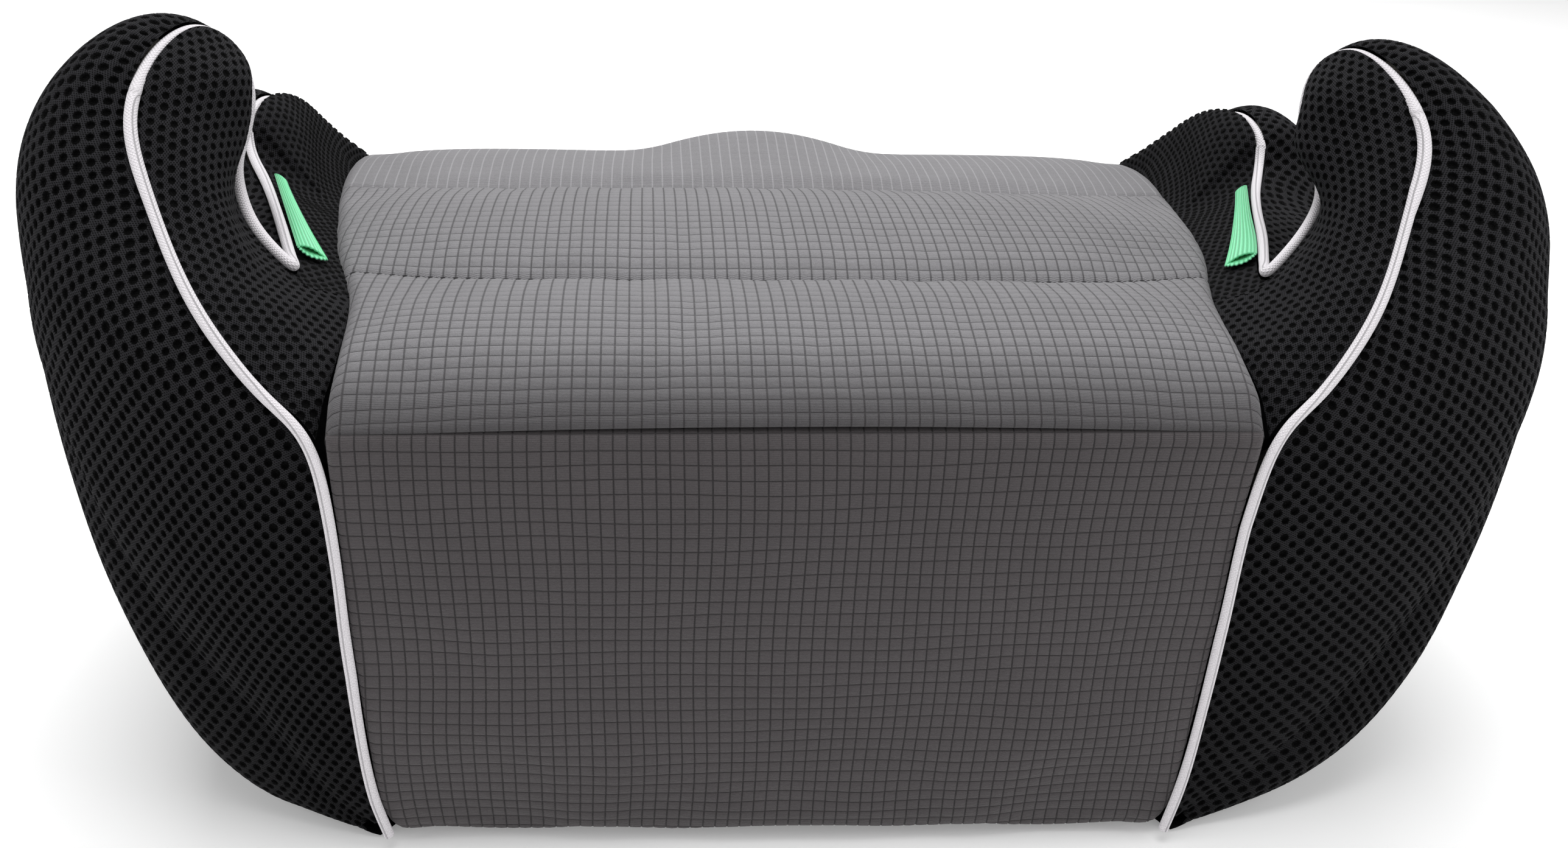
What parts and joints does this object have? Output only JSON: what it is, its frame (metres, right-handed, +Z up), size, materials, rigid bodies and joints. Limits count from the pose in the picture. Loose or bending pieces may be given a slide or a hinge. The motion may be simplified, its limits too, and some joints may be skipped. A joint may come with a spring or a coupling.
{
  "type": "backless booster seat",
  "caption": "Backless child booster seat with a padded quilted seat, two mesh-covered armrests with belt slots, light piping and folded belt-guide tags.",
  "frame": {"origin": "centre of the bounding box's underside, on the plane that the rubber feet stand on", "axes": "+Z up; the seat's front faces -Y; +X is the sitter's left-hand side, the longest side of the box"},
  "size_m": [0.4602, 0.3037, 0.2427],
  "materials": {
    "base_plastic": "matt",
    "core_plastic": "matt",
    "screw_steel": "satin",
    "foam": "matt",
    "seat_fabric": "matt",
    "panel_fabric": "matt",
    "spacer_mesh": "matt",
    "piping_fabric": "matt",
    "tag_ribbon": "satin",
    "elastic": "matt",
    "hook_plastic": "matt",
    "foot_rubber": "matt"
  },
  "bodies": {
    "seat": {"base_shell": "base_plastic", "armrest_core_left": "core_plastic", "armrest_core_right": "core_plastic", "armrest_screws": "screw_steel", "seat_foam": "foam", "armrest_foam_left": "foam", "armrest_foam_right": "foam", "seat_cover": "seat_fabric", "front_panel": "panel_fabric", "rear_panel": "panel_fabric", "inner_mesh_panel_left": "spacer_mesh", "inner_mesh_panel_right": "spacer_mesh", "outer_mesh_panel_left": "spacer_mesh", "outer_mesh_panel_right": "spacer_mesh", "piping_left": "piping_fabric", "piping_right": "piping_fabric", "hem_elastic": "elastic", "hem_hooks": "hook_plastic", "rubber_feet": "foot_rubber"},
    "tag_left": {"belt_tag_left": "tag_ribbon"},
    "tag_right": {"belt_tag_right": "tag_ribbon"}
  },
  "joints": [
    {"name": "tag_left_fold", "type": "hinge", "parent": "seat", "child": "tag_left", "pos_m": [0.1516, -0.071, 0.1758], "axis": [0.3005, 0.9531, 0.0349], "range_deg": [0, 50]},
    {"name": "tag_right_fold", "type": "hinge", "parent": "seat", "child": "tag_right", "pos_m": [-0.1516, -0.071, 0.1758], "axis": [0.3005, -0.9531, -0.0349], "range_deg": [0, 50]}
  ]
}
